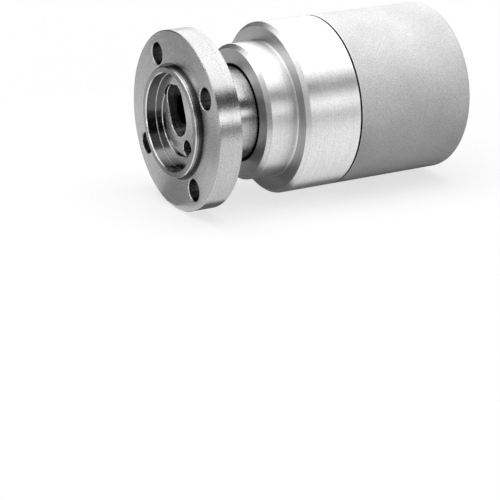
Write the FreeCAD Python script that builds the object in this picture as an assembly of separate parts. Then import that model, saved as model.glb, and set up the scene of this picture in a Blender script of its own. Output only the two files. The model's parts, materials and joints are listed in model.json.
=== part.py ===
import FreeCAD, Part
import math
import os

# Hydraulic rotary union with two passages, in millimetres.
# The rotor turns about X. The flange's mounting face lies at x = 0, its spigot points to -X,
# the housing lies towards +X and +Z is up. Angles round the axis run from +Z towards +Y.

# Flange of the rotor
flange_radius = 45.0
flange_thickness = 12.5
flange_edge = 0.4
bolt_count = 4
bolt_circle_radius = 35.5
bolt_hole_radius = 5.5
bolt_hole_edge = 0.4
first_bolt_angle = 30.9

# Spigot and stepped recess in front of the flange
spigot_radius = 27.6
spigot_height = 3.7
spigot_edge = 0.5
face_relief_width = 1.4
face_relief_depth = 0.35
recess_radius = 24.4
recess_depth = 2.0
recess_fillet = 0.5
inner_recess_radius = 17.6
inner_recess_depth = 1.2
inner_recess_edge = 0.3

# Main passage: an obround pocket in the recess floor that leads to one long bore
pocket_length = 26.0
pocket_width = 16.0
pocket_depth = 3.7
pocket_edge = 0.3
pocket_y = 4.5
pocket_z = 4.25
pocket_tilt = 21.0
main_passage_radius = 7.5
main_cross_radius = 4.5
main_cross_spread = 52.0
passage_overrun = 5.0

# Pilot passage: the small round port beside the pocket
pilot_y = -6.0
pilot_z = -12.9
pilot_port_radius = 4.1
pilot_port_depth = 10.0
pilot_passage_radius = 3.0
pilot_cross_radius = 2.3
pilot_overrun = 3.5

# Shaft of the rotor
neck_length = 20.9
neck_radius = 23.5
neck_root_radius = 1.5
seal_journal_radius = 19.8
rear_shoulder_radius = 15.2
rear_shoulder_length = 2.6
shaft_end_length = 1.8
shaft_edge = 0.8

# Front housing: a stepped collar and a turned body
collar_length = 16.6
collar_radius = 34.2
collar_edge = 2.0
front_wall = 3.0
neck_clearance = 0.4
body_wall = 12.4
body_edge = 2.0
step_fillet = 0.8
front_body_length = 31.4
front_port_edge = 0.5

# Rear housing: the distributor with its galleries
rear_rim_wall = 1.7
rear_edge_radius = 3.0
seam_gap = 0.5
seam_depth = 1.2
seam_edge = 0.2
register_length = 6.0
register_clearance = 0.03
register_edge = 0.6
bore_clearance = 0.15

# Rotary seals of the distributor, from front to rear
seal_groove_width = 4.2
seal_groove_radius = 24.5
slipper_width = 4.0
slipper_wall = 1.9
slipper_clearance = 0.1
slipper_edge = 0.2
energiser_section = 1.25
first_seal_setback = 2.6
land_width = 3.3
middle_land_width = 2.5
pilot_land_width = 2.2
gallery_width = 10.0
gallery_radius = 26.0
pilot_gallery_width = 5.0
pilot_gallery_radius = 24.0

# Housing ports: parallel pipe threads, shown at their tapping size
main_port_radius = 9.5
main_port_length = 13.5
main_port_face_radius = 14.0
main_feed_radius = 4.6
main_port_angle = 90.0
pilot_port_thread_radius = 5.9
pilot_thread_length = 12.0
pilot_face_radius = 10.0
pilot_feed_radius = 2.3
pilot_port_angle = 180.0
port_mouth_edge = 1.0
face_cut_depth = 0.1
cutter_overrun = 1.0

# Leak-off hole behind the front bearing, with its plug
drain_radius = 4.3
drain_face_radius = 7.0
drain_setback = 6.0
drain_plug_length = 7.0
drain_plug_sink = 1.0
drain_plug_clearance = 0.03
drain_plug_hex = 5.0
drain_plug_hex_depth = 4.0

# Lip seal in the collar
lip_seal_radius = 29.5
lip_seal_width = 8.0
lip_seal_setback = 0.2
lip_seal_wall = 1.4
lip_seal_edge = 0.4
lip_seal_lead_in = 0.8
lip_seal_fillet = 0.5
lip_clearance = 0.1
lip_depth = 2.4
lip_flank = 0.9
lip_heel = 0.7
lip_web = 0.4
garter_wire_radius = 0.75
garter_seat_depth = 0.5
garter_sink = 0.1

# Where the points of the lip lie, as shares of the seal's width from its front
lip_waist_share = 0.45
lip_heel_share = 0.5
garter_share = 0.66
lip_edge_share = 0.68
lip_end_share = 0.85

# Front bearing, 40 x 62 x 12
front_bore_radius = 20.0
front_section = 11.0
front_bearing_width = 12.0
front_ball_share = 0.2886
front_ball_count = 16

# Rear bearing, 25 x 47 x 12
rear_bore_radius = 12.5
rear_section = 11.0
rear_bearing_width = 12.0
rear_ball_share = 0.361
rear_ball_count = 10
rear_bearing_float = 0.7
rear_bearing_wall = 3.6

# Details that both bearings share. A ball's radius is its share of the height of the section.
land_share = 0.62
race_clearance = 0.12
ring_edge = 0.8
cage_share = 0.78
cage_sheet = 0.7
cage_clearance = 0.15
rivet_radius = 0.75
rivet_head = 0.45

# Circlips: thickness, groove depth and radial section
front_shaft_clip = (1.75, 1.25, 4.0)
front_housing_clip = (2.0, 1.5, 4.6)
rear_shaft_clip = (1.2, 0.55, 3.0)
cap_clip = (2.0, 1.5, 4.0)
clip_groove_play = 0.1
clip_seat_clearance = 0.03
clip_hole_radius = 1.0
clip_lug_radius = 2.2
clip_lug_offset = 1.0
clip_gap_angle = 16.0

# End cap
cap_radius = 25.0
cap_clearance = 0.05
cap_length = 5.4
cap_rim_wall = 3.6
cap_hollow_depth = 2.8
cap_dish_depth = 0.8
cap_dish_radius = 14.0
cap_edge = 0.5
cap_hollow_fillet = 0.8

# Static O-rings: section radius of the ring, groove depth and groove width
o_ring_section = 1.1
o_ring_groove_depth = 2.3
o_ring_groove_width = 2.8
cap_ring_setback = 1.6
joint_ring_setback = 1.6

# Socket screws that tie the two housings together
tie_count = 4
tie_first_angle = 45.0
tie_setin = 0.9
tie_radius = 3.0
tie_hole_clearance = 0.3
tie_thread_clearance = 0.02
tie_head_radius = 5.0
tie_head_height = 6.0
tie_head_sink = 1.0
tie_head_clearance = 0.5
tie_hex = 5.0
tie_hex_depth = 3.0
tie_engagement = 10.0
tie_thread_overrun = 2.5
tie_edge = 0.4

# Tapped holes on the rear face for a torque arm
arm_hole_count = 4
arm_first_angle = 0.0
arm_setout = 9.0
arm_hole_radius = 3.4
arm_hole_depth = 16.0
arm_hole_edge = 0.4

# Dowel that lines up the two housings
dowel_radius = 2.0
dowel_length = 10.0
dowel_angle = 20.0
dowel_clearance = 0.02

# Radii worked out from the bearings and the walls above
front_outer_radius = front_bore_radius + front_section
rear_outer_radius = rear_bore_radius + rear_section
front_ball_radius = front_ball_share * front_section
rear_ball_radius = rear_ball_share * rear_section
body_radius = front_outer_radius + body_wall
wall_circle_radius = front_outer_radius + body_wall / 2
tie_circle_radius = wall_circle_radius - tie_setin
arm_circle_radius = cap_radius + arm_setout
housing_bore_radius = seal_journal_radius + bore_clearance
register_radius = front_outer_radius - register_clearance

# Places along the axis, worked out from the lengths above
recess_floor_x = recess_depth + inner_recess_depth
collar_x = flange_thickness + neck_length
body_x = collar_x + collar_length
seam_x = body_x + front_body_length
lip_seal_x = collar_x + front_wall + lip_seal_setback
front_bearing_x = body_x
front_clip_x = front_bearing_x + front_bearing_width
register_x = seam_x - register_length
first_seal_x = seam_x + first_seal_setback
main_gallery_x = first_seal_x + seal_groove_width + land_width
main_port_x = main_gallery_x + gallery_width / 2
second_seal_x = main_gallery_x + gallery_width + middle_land_width
pilot_gallery_x = second_seal_x + seal_groove_width + pilot_land_width
pilot_port_x = pilot_gallery_x + pilot_gallery_width / 2
third_seal_x = pilot_gallery_x + pilot_gallery_width + pilot_land_width
rear_bore_x = third_seal_x + seal_groove_width + rear_bearing_wall
rear_bearing_x = rear_bore_x + rear_bearing_float
rear_clip_x = rear_bearing_x + rear_bearing_width
cap_x = rear_clip_x + rear_bearing_float
cap_clip_x = cap_x + cap_length
rear_x = cap_clip_x + cap_clip[0] + clip_groove_play + rear_rim_wall
seal_places = {"front": first_seal_x, "middle": second_seal_x, "rear": third_seal_x}

V = FreeCAD.Vector
ORIGIN = V(0, 0, 0)
X_AXIS = V(1, 0, 0)


def radial(angle):
    """Unit vector at this angle round the axis."""
    turn = math.radians(angle)
    return V(0, math.sin(turn), math.cos(turn))


def at(x, radius, angle):
    """Point at a place along the axis, a radius and an angle."""
    return V(x, 0, 0) + radial(angle) * radius


def round_the_axis(count, first):
    return [first + 360.0 * index / count for index in range(count)]


def corner(x, radius, fillet=0.0, chamfer=0.0):
    """One corner of a turned profile."""
    return V(x, 0, radius), fillet, chamfer


def corner_edges(before, here, after, fillet, chamfer):
    """Where the straight runs beside a corner end and start, and the edge that joins them."""
    back = (before - here).normalize()
    ahead = (after - here).normalize()
    if fillet:
        half = back.getAngle(ahead) / 2
        reach = fillet / math.tan(half)
        middle = here + (back + ahead).normalize() * (fillet / math.sin(half) - fillet)
        start, end = here + back * reach, here + ahead * reach
        return start, end, Part.Arc(start, middle, end).toShape()
    if chamfer:
        start, end = here + back * chamfer, here + ahead * chamfer
        return start, end, Part.makeLine(start, end)
    return here, here, None


def turned(*corners):
    """Solid of revolution about X from the corners of its closed profile."""
    points = [point for point, fillet, chamfer in corners]
    bends = []
    for index, (point, fillet, chamfer) in enumerate(corners):
        before, after = points[index - 1], points[(index + 1) % len(points)]
        bends.append(corner_edges(V(before), V(point), V(after), fillet, chamfer))
    edges = []
    for index, (start, end, edge) in enumerate(bends):
        leave = bends[index - 1][1]
        if leave.distanceToPoint(start) > 1e-6:
            edges.append(Part.makeLine(leave, start))
        if edge:
            edges.append(edge)
    face = Part.Face(Part.Wire(edges))
    return face.revolve(ORIGIN, X_AXIS, 360).Solids[0]


def ring(x, width, inner, outer, edge=0.0):
    """Turned ring of rectangular section, its four corners chamfered."""
    return turned(
        corner(x, inner, chamfer=edge),
        corner(x + width, inner, chamfer=edge),
        corner(x + width, outer, chamfer=edge),
        corner(x, outer, chamfer=edge),
    )


def torus(x, radius, section):
    return Part.makeTorus(radius, section, V(x, 0, 0), X_AXIS)


def drill(start, direction, radius, length):
    return Part.makeCylinder(radius, length, start, direction)


def drill_with_edge(mouth, direction, radius, length, edge):
    """Drilled hole from its mouth, with the mouth chamfered."""
    hole = drill(mouth, direction, radius, length)
    cone = Part.makeCone(radius + edge, radius, edge, mouth, direction)
    return hole.fuse(cone)


def hexagon(centre, direction, across_flats, depth):
    """Hexagonal prism for a key socket."""
    reach = across_flats / math.sqrt(3)
    side = direction.cross(radial(0) if abs(direction.x) > 0.5 else X_AXIS).normalize()
    up = direction.cross(side)
    turns = [math.radians(60 * index) for index in range(7)]
    rim = [centre + side * (reach * math.cos(t)) + up * (reach * math.sin(t)) for t in turns]
    return Part.Face(Part.makePolygon(rim)).extrude(direction * depth)


def flat_depth(cutter_radius):
    """Radius at which a spot face of this size is whole on the round body."""
    return math.sqrt(body_radius**2 - cutter_radius**2) - face_cut_depth


def single(shape):
    """The one solid that a cut or a fuse leaves."""
    solids = shape.removeSplitter().Solids
    if len(solids) != 1:
        raise ValueError(f"expected one solid, found {len(solids)}")
    return solids[0]


def rotor_blank():
    """The turned rotor before any drilling."""
    relief_radius = spigot_radius + face_relief_width
    clip_thick, clip_depth, _ = front_shaft_clip
    rear_thick, rear_depth, _ = rear_shaft_clip
    groove_x = front_clip_x + clip_thick + clip_groove_play
    rear_groove_x = rear_clip_x + rear_thick + clip_groove_play
    step_x = rear_bearing_x - rear_shoulder_length
    return turned(
        corner(recess_floor_x, 0),
        corner(recess_floor_x, inner_recess_radius),
        corner(recess_depth, inner_recess_radius, chamfer=inner_recess_edge),
        corner(recess_depth, recess_radius, fillet=recess_fillet),
        corner(-spigot_height, recess_radius, chamfer=spigot_edge),
        corner(-spigot_height, spigot_radius, chamfer=spigot_edge),
        corner(face_relief_depth, spigot_radius),
        corner(face_relief_depth, relief_radius),
        corner(0, relief_radius),
        corner(0, flange_radius, chamfer=flange_edge),
        corner(flange_thickness, flange_radius, chamfer=flange_edge),
        corner(flange_thickness, neck_radius, fillet=neck_root_radius),
        corner(front_bearing_x, neck_radius, chamfer=flange_edge),
        corner(front_bearing_x, front_bore_radius),
        corner(front_clip_x, front_bore_radius),
        corner(front_clip_x, front_bore_radius - clip_depth),
        corner(groove_x, front_bore_radius - clip_depth),
        corner(groove_x, seal_journal_radius, chamfer=shaft_edge),
        corner(step_x, seal_journal_radius, chamfer=shaft_edge),
        corner(step_x, rear_shoulder_radius),
        corner(rear_bearing_x, rear_shoulder_radius),
        corner(rear_bearing_x, rear_bore_radius),
        corner(rear_clip_x, rear_bore_radius),
        corner(rear_clip_x, rear_bore_radius - rear_depth),
        corner(rear_groove_x, rear_bore_radius - rear_depth),
        corner(rear_groove_x, rear_bore_radius),
        corner(rear_groove_x + shaft_end_length, rear_bore_radius, chamfer=shaft_edge),
        corner(rear_groove_x + shaft_end_length, 0),
    )


def pocket_outline(x, radius):
    """Obround outline of the pocket at a depth, its length tilted from +Z towards +Y."""
    half = (pocket_length - pocket_width) / 2
    along = radial(pocket_tilt)
    across = along.cross(X_AXIS) * radius
    centre = V(x, pocket_y, pocket_z)
    top, bottom = centre + along * half, centre - along * half
    return Part.Wire([
        Part.Arc(top - across, top + along * radius, top + across).toShape(),
        Part.makeLine(top + across, bottom + across),
        Part.Arc(bottom + across, bottom - along * radius, bottom - across).toShape(),
        Part.makeLine(bottom - across, top - across),
    ])


def port_pocket():
    """Shallow pocket in the recess floor with an eased rim; it also cuts the ring beside the floor."""
    radius = pocket_width / 2
    wide = radius + pocket_edge
    rim_end = recess_floor_x + pocket_edge
    mouth = Part.Face(pocket_outline(recess_depth, wide)).extrude(V(inner_recess_depth, 0, 0))
    rim = Part.makeLoft([pocket_outline(recess_floor_x, wide), pocket_outline(rim_end, radius)], True, True)
    body = Part.Face(pocket_outline(recess_depth, radius)).extrude(V(inner_recess_depth + pocket_depth, 0, 0))
    return body.fuse([mouth, rim])


def flanged_rotor():
    """Flange, spigot, shaft and the two passages, cut from one bar."""
    cuts = [port_pocket()]
    for angle in round_the_axis(bolt_count, first_bolt_angle):
        mouth = at(0, bolt_circle_radius, angle)
        cuts.append(drill_with_edge(mouth, X_AXIS, bolt_hole_radius, flange_thickness, bolt_hole_edge))
    main_start = V(recess_floor_x, pocket_y, pocket_z)
    main_length = main_port_x + passage_overrun - recess_floor_x
    cuts.append(drill(main_start, X_AXIS, main_passage_radius, main_length))
    outward = math.degrees(math.atan2(pocket_y, pocket_z))
    main_centre = V(main_port_x, pocket_y, pocket_z)
    for turn in (-main_cross_spread, 0, main_cross_spread):
        cuts.append(drill(main_centre, radial(outward + turn), main_cross_radius, seal_journal_radius))
    pilot_start = V(recess_depth, pilot_y, pilot_z)
    port_length = inner_recess_depth + pilot_port_depth
    cuts.append(drill(pilot_start, X_AXIS, pilot_port_radius, port_length))
    pilot_mouth_radius = pilot_port_radius + pocket_edge
    cuts.append(drill(pilot_start, X_AXIS, pilot_mouth_radius, inner_recess_depth))
    pilot_rim = V(recess_floor_x, pilot_y, pilot_z)
    cuts.append(Part.makeCone(pilot_mouth_radius, pilot_port_radius, pocket_edge, pilot_rim, X_AXIS))
    pilot_length = pilot_port_x + pilot_overrun - recess_depth
    cuts.append(drill(pilot_start, X_AXIS, pilot_passage_radius, pilot_length))
    pilot_centre = V(pilot_port_x, pilot_y, pilot_z)
    pilot_out = V(0, pilot_y, pilot_z).normalize()
    cuts.append(drill(pilot_centre, pilot_out, pilot_cross_radius, seal_journal_radius))
    return single(rotor_blank().cut(cuts))


def front_housing():
    """Stepped collar and turned body, open to the rear."""
    wall_x = collar_x + front_wall
    thick, depth, _ = front_housing_clip
    groove_x = front_clip_x + thick + clip_groove_play
    wall_radius = neck_radius + neck_clearance
    blank = turned(
        corner(collar_x, wall_radius, chamfer=front_port_edge),
        corner(collar_x, collar_radius, chamfer=collar_edge),
        corner(body_x, collar_radius, fillet=step_fillet),
        corner(body_x, body_radius, chamfer=body_edge),
        corner(seam_x - seam_gap, body_radius, chamfer=seam_edge),
        corner(seam_x - seam_gap, body_radius - seam_depth),
        corner(seam_x, body_radius - seam_depth),
        corner(seam_x, front_outer_radius, chamfer=register_edge),
        corner(groove_x, front_outer_radius),
        corner(groove_x, front_outer_radius + depth),
        corner(front_clip_x, front_outer_radius + depth),
        corner(front_clip_x, front_outer_radius),
        corner(front_bearing_x, front_outer_radius),
        corner(front_bearing_x, lip_seal_radius),
        corner(wall_x, lip_seal_radius),
        corner(wall_x, wall_radius),
    )
    cuts = []
    thread_length = tie_engagement + tie_thread_overrun
    for angle in round_the_axis(tie_count, tie_first_angle):
        mouth = at(seam_x, tie_circle_radius, angle)
        cuts.append(drill(mouth, -X_AXIS, tie_radius + tie_thread_clearance, thread_length))
    cuts.append(dowel_hole(-X_AXIS))
    cuts.append(drain_cut())
    return single(blank.cut(cuts))


def dowel_hole(direction):
    mouth = at(seam_x, wall_circle_radius, dowel_angle)
    return drill(mouth, direction, dowel_radius + dowel_clearance, dowel_length / 2 + dowel_clearance)


def drain_x():
    return front_clip_x + front_housing_clip[0] + drain_setback


def drain_cut():
    """Leak-off hole with its spot face, in line with the pilot port."""
    inward = -radial(pilot_port_angle)
    face = flat_depth(drain_face_radius)
    outside = body_radius + cutter_overrun
    spot = drill(at(drain_x(), outside, pilot_port_angle), inward, drain_face_radius, outside - face)
    hole = drill(at(drain_x(), face, pilot_port_angle), inward, drain_radius, face - neck_radius)
    return spot.fuse(hole)


def drain_plug():
    """Headless plug with a key socket, sunk in the leak-off hole."""
    inward = -radial(pilot_port_angle)
    top = at(drain_x(), flat_depth(drain_face_radius) - drain_plug_sink, pilot_port_angle)
    plug = drill(top, inward, drain_radius - drain_plug_clearance, drain_plug_length)
    return single(plug.cut(hexagon(top, inward, drain_plug_hex, drain_plug_hex_depth)))


def housing_port(x, angle, face_radius, radius, length, feed_radius, gallery):
    """Spot face, threaded bore and the feed hole that reaches the gallery."""
    inward = -radial(angle)
    face = flat_depth(face_radius)
    outside = body_radius + cutter_overrun
    spot = drill(at(x, outside, angle), inward, face_radius, outside - face)
    bore = drill_with_edge(at(x, face, angle), inward, radius, length, port_mouth_edge)
    feed = drill(at(x, face, angle), inward, feed_radius, face - gallery + gallery_width / 2)
    return spot.fuse([bore, feed])


def rear_housing():
    """Distributor with galleries, seal grooves, bearing seat and ports."""
    cap_thick, cap_depth, _ = cap_clip
    groove_x = cap_clip_x + cap_thick + clip_groove_play
    ring_x = register_x + joint_ring_setback
    blank = turned(
        corner(register_x, housing_bore_radius, chamfer=register_edge),
        corner(register_x, register_radius, chamfer=register_edge),
        corner(ring_x, register_radius),
        corner(ring_x, register_radius - o_ring_groove_depth),
        corner(ring_x + o_ring_groove_width, register_radius - o_ring_groove_depth),
        corner(ring_x + o_ring_groove_width, register_radius),
        corner(seam_x, register_radius),
        corner(seam_x, body_radius, chamfer=seam_edge),
        corner(rear_x, body_radius, fillet=rear_edge_radius),
        corner(rear_x, cap_radius, chamfer=cap_edge / 2),
        corner(groove_x, cap_radius),
        corner(groove_x, cap_radius + cap_depth),
        corner(cap_clip_x, cap_radius + cap_depth),
        corner(cap_clip_x, cap_radius),
        corner(cap_x, cap_radius),
        corner(cap_x, rear_outer_radius, chamfer=cap_edge),
        corner(rear_bore_x, rear_outer_radius),
        corner(rear_bore_x, housing_bore_radius, chamfer=register_edge),
    )
    cuts = []
    inside = housing_bore_radius - cutter_overrun
    for x in seal_places.values():
        cuts.append(ring(x, seal_groove_width, inside, seal_groove_radius))
    cuts.append(ring(main_gallery_x, gallery_width, inside, gallery_radius))
    cuts.append(ring(pilot_gallery_x, pilot_gallery_width, inside, pilot_gallery_radius))
    cuts.append(housing_port(main_port_x, main_port_angle, main_port_face_radius, main_port_radius,
                             main_port_length, main_feed_radius, gallery_radius))
    cuts.append(housing_port(pilot_port_x, pilot_port_angle, pilot_face_radius,
                             pilot_port_thread_radius, pilot_thread_length, pilot_feed_radius,
                             pilot_gallery_radius))
    for angle in round_the_axis(tie_count, tie_first_angle):
        hole_length = rear_x - seam_x
        cuts.append(drill(at(seam_x, tie_circle_radius, angle), X_AXIS, tie_radius + tie_hole_clearance,
                          hole_length))
        sink = tie_head_height + tie_head_sink
        cuts.append(drill(at(rear_x, tie_circle_radius, angle), -X_AXIS,
                          tie_head_radius + tie_head_clearance, sink))
    for angle in round_the_axis(arm_hole_count, arm_first_angle):
        mouth = at(rear_x, arm_circle_radius, angle)
        cuts.append(drill_with_edge(mouth, -X_AXIS, arm_hole_radius, arm_hole_depth, arm_hole_edge))
    cuts.append(dowel_hole(X_AXIS))
    return single(blank.cut(cuts))


def lip_seal():
    """Rubber-covered L case with a lip that reaches the neck."""
    x = lip_seal_x
    end = x + lip_seal_width
    inside = x + lip_seal_wall
    root = lip_seal_radius - lip_seal_wall
    lip = neck_radius + lip_clearance
    back = lip + lip_depth
    lip_end_x = x + lip_seal_width * lip_end_share
    return turned(
        corner(x, lip + lip_seal_wall),
        corner(x, lip_seal_radius, chamfer=lip_seal_edge),
        corner(end, lip_seal_radius, chamfer=lip_seal_lead_in),
        corner(end, root),
        corner(inside, root, fillet=lip_seal_fillet),
        corner(inside, back + lip_web, fillet=lip_seal_fillet / 2),
        corner(x + lip_seal_width * lip_waist_share, back - garter_seat_depth),
        corner(lip_end_x, back - garter_seat_depth / 2),
        corner(lip_end_x, lip + lip_flank),
        corner(x + lip_seal_width * lip_edge_share, lip),
        corner(x + lip_seal_width * lip_heel_share, lip + lip_heel),
        corner(inside, lip + lip_flank),
    )


def garter_spring():
    """Closed spring that presses the lip inwards, shown as the round of its coils."""
    x = lip_seal_x + lip_seal_width * garter_share
    radius = neck_radius + lip_clearance + lip_depth + garter_wire_radius - garter_sink
    return torus(x, radius, garter_wire_radius)


def bearing_rings(x, bore, outer, width, ball):
    """Inner and outer ring of a deep-groove bearing, with the raceway cut in both."""
    pitch = (bore + outer) / 2
    land = ball * land_share
    race = torus(x + width / 2, pitch, ball + race_clearance)
    inner = ring(x, width, bore, pitch - land, ring_edge).cut(race)
    shell = ring(x, width, pitch + land, outer, ring_edge).cut(race)
    return single(inner), single(shell)


def ball_centres(x, bore, outer, width, count):
    pitch = (bore + outer) / 2
    return [at(x + width / 2, pitch, angle) for angle in round_the_axis(count, 0)]


def bearing_cage(x, bore, outer, width, ball, count):
    """Ribbon cage: two pressed halves with round pockets, riveted between the balls."""
    pitch = (bore + outer) / 2
    half_width = ball * land_share * cage_share
    pocket = ball + cage_clearance
    middle = x + width / 2
    inner, rim = pitch - half_width, pitch + half_width
    sheet = ring(middle - cage_sheet, 2 * cage_sheet, inner, rim)
    slice_all = ring(x, width, inner, rim)
    centres = ball_centres(x, bore, outer, width, count)
    cups = [Part.makeSphere(pocket + cage_sheet, centre).common(slice_all) for centre in centres]
    rivet_length = 2 * (cage_sheet + rivet_head)
    rivets = []
    for angle in round_the_axis(count, 180.0 / count):
        foot = at(middle - cage_sheet - rivet_head, pitch, angle)
        rivets.append(drill(foot, X_AXIS, rivet_radius, rivet_length))
    solid = sheet.fuse(cups + rivets)
    return single(solid.cut([Part.makeSphere(pocket, centre) for centre in centres]))


def ball_bearing(name, x, bore, outer, width, ball, count):
    """The four parts of one bearing, by node name."""
    inner, shell = bearing_rings(x, bore, outer, width, ball)
    centres = ball_centres(x, bore, outer, width, count)
    return {
        f"{name}_bearing_inner_ring": inner,
        f"{name}_bearing_outer_ring": shell,
        f"{name}_bearing_cage": bearing_cage(x, bore, outer, width, ball, count),
        f"{name}_bearing_balls": Part.makeCompound([Part.makeSphere(ball, centre) for centre in centres]),
    }


def circlip(x, clip, seat_radius, external):
    """Spring ring with an opening at the top and a holed lug on each end."""
    thick, depth, section = clip
    if external:
        inner = seat_radius - depth + clip_seat_clearance
        outer = inner + section
        lug_radius = outer - clip_lug_offset
    else:
        outer = seat_radius + depth - clip_seat_clearance
        inner = outer - section
        lug_radius = inner + clip_lug_offset
    body = ring(x, thick, inner, outer)
    reach = 2 * outer
    half = clip_gap_angle / 2
    gap_rim = [V(x, 0, 0), at(x, reach, -half), at(x, reach, half), V(x, 0, 0)]
    gap = Part.Face(Part.makePolygon(gap_rim)).extrude(V(thick, 0, 0))
    body = body.cut(gap)
    lug_angle = half + math.degrees(clip_lug_radius / lug_radius)
    lugs = [drill(at(x, lug_radius, sign * lug_angle), X_AXIS, clip_lug_radius, thick) for sign in (-1, 1)]
    holes = [drill(at(x, lug_radius, sign * lug_angle), X_AXIS, clip_hole_radius, thick) for sign in (-1, 1)]
    core = drill(V(x, 0, 0), X_AXIS, inner, thick)
    rim = ring(x, thick, outer, reach)
    return single(body.fuse(lugs).cut(holes).cut(core if external else rim))


def end_cap():
    """Dished cap with a hollow for the shaft end and a groove for its O-ring."""
    radius = cap_radius - cap_clearance
    end = cap_x + cap_length
    ring_x = cap_x + cap_ring_setback
    hollow = radius - cap_rim_wall - o_ring_groove_depth
    return turned(
        corner(cap_x + cap_hollow_depth, 0),
        corner(cap_x + cap_hollow_depth, hollow, fillet=cap_hollow_fillet),
        corner(cap_x, hollow),
        corner(cap_x, radius, chamfer=cap_edge),
        corner(ring_x, radius),
        corner(ring_x, radius - o_ring_groove_depth),
        corner(ring_x + o_ring_groove_width, radius - o_ring_groove_depth),
        corner(ring_x + o_ring_groove_width, radius),
        corner(end, radius, chamfer=cap_edge / 2),
        corner(end, cap_dish_radius + cap_dish_depth),
        corner(end - cap_dish_depth, cap_dish_radius),
        corner(end - cap_dish_depth, 0),
    )


def o_ring(groove_x, outer_radius):
    """O-ring in the middle of a groove whose mouth is at this radius."""
    middle = outer_radius - o_ring_groove_depth / 2
    return torus(groove_x + o_ring_groove_width / 2, middle, o_ring_section)


def rotary_seal(x):
    """Slipper ring on the journal and the rubber ring that presses it inwards."""
    inner = seal_journal_radius + slipper_clearance
    start = x + (seal_groove_width - slipper_width) / 2
    slipper = ring(start, slipper_width, inner, inner + slipper_wall, slipper_edge)
    spring = (inner + slipper_wall + seal_groove_radius) / 2
    energiser = torus(x + seal_groove_width / 2, spring, energiser_section)
    return slipper, energiser


def tie_screw(angle):
    """Socket screw from the rear face into the front housing."""
    head_x = rear_x - tie_head_sink
    under_head_x = head_x - tie_head_height
    tip_x = seam_x - tie_engagement
    blank = turned(
        corner(tip_x, 0),
        corner(tip_x, tie_radius, chamfer=tie_edge),
        corner(under_head_x, tie_radius),
        corner(under_head_x, tie_head_radius),
        corner(head_x, tie_head_radius, chamfer=tie_edge),
        corner(head_x, 0),
    )
    screw = blank.cut(hexagon(V(head_x, 0, 0), -X_AXIS, tie_hex, tie_hex_depth))
    return single(screw).translated(at(0, tie_circle_radius, angle))


def dowel():
    start = at(seam_x - dowel_length / 2, wall_circle_radius, dowel_angle)
    return drill(start, X_AXIS, dowel_radius, dowel_length)


def subparts():
    """Every separate piece of the union, by node name."""
    parts = {
        "flanged_rotor": flanged_rotor(),
        "front_housing": front_housing(),
        "rear_housing": rear_housing(),
        "front_lip_seal": lip_seal(),
        "front_seal_garter_spring": garter_spring(),
    }
    parts.update(ball_bearing("front", front_bearing_x, front_bore_radius, front_outer_radius,
                              front_bearing_width, front_ball_radius, front_ball_count))
    parts.update(ball_bearing("rear", rear_bearing_x, rear_bore_radius, rear_outer_radius,
                              rear_bearing_width, rear_ball_radius, rear_ball_count))
    parts["front_shaft_circlip"] = circlip(front_clip_x, front_shaft_clip, front_bore_radius, True)
    parts["front_housing_circlip"] = circlip(front_clip_x, front_housing_clip, front_outer_radius, False)
    parts["rear_shaft_circlip"] = circlip(rear_clip_x, rear_shaft_clip, rear_bore_radius, True)
    parts["end_cap_circlip"] = circlip(cap_clip_x, cap_clip, cap_radius, False)
    for place, x in seal_places.items():
        slipper, energiser = rotary_seal(x)
        parts[f"{place}_slipper_ring"] = slipper
        parts[f"{place}_energiser_ring"] = energiser
    parts["housing_joint_o_ring"] = o_ring(register_x + joint_ring_setback, register_radius)
    parts["end_cap"] = end_cap()
    parts["end_cap_o_ring"] = o_ring(cap_x + cap_ring_setback, cap_radius - cap_clearance)
    angles = round_the_axis(tie_count, tie_first_angle)
    parts["tie_screws"] = Part.makeCompound([tie_screw(angle) for angle in angles])
    parts["locating_dowel"] = dowel()
    parts["drain_plug"] = drain_plug()
    return parts


os.makedirs("parts", exist_ok=True)
for node, shape in subparts().items():
    shape.exportStep(f"parts/{node}.step")
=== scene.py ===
import json
import math

import bpy
from mathutils import Matrix, Vector


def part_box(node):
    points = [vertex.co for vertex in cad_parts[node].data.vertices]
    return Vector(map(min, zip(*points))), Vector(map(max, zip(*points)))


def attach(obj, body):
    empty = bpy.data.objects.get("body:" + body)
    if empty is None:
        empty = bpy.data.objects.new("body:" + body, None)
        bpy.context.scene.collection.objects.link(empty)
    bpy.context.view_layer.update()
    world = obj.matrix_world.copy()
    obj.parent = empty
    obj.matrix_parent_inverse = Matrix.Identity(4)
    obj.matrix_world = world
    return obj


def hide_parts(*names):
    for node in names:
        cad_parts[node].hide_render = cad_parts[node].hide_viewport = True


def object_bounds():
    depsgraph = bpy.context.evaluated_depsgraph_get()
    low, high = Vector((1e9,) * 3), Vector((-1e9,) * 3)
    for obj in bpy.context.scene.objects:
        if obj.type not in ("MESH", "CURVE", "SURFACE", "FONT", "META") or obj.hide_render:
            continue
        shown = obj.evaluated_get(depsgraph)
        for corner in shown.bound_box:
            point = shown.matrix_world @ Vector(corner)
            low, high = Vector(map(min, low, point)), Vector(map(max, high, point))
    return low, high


# Looks of the hydraulic rotary union. Metres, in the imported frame: the rotor turns about X, its
# flange points to -X and +Z is up. Angles round the axis run from +Z towards +Y.

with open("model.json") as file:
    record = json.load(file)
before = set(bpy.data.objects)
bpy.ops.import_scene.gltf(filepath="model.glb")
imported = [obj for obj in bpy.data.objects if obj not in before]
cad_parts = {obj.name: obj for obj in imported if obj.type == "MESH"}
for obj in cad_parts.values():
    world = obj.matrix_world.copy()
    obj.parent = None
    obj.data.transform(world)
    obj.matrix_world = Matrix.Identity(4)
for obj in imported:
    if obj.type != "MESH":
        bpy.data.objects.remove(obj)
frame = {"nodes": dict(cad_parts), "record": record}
cad_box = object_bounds()
nodes = frame["nodes"]

MM = 0.001

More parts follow.
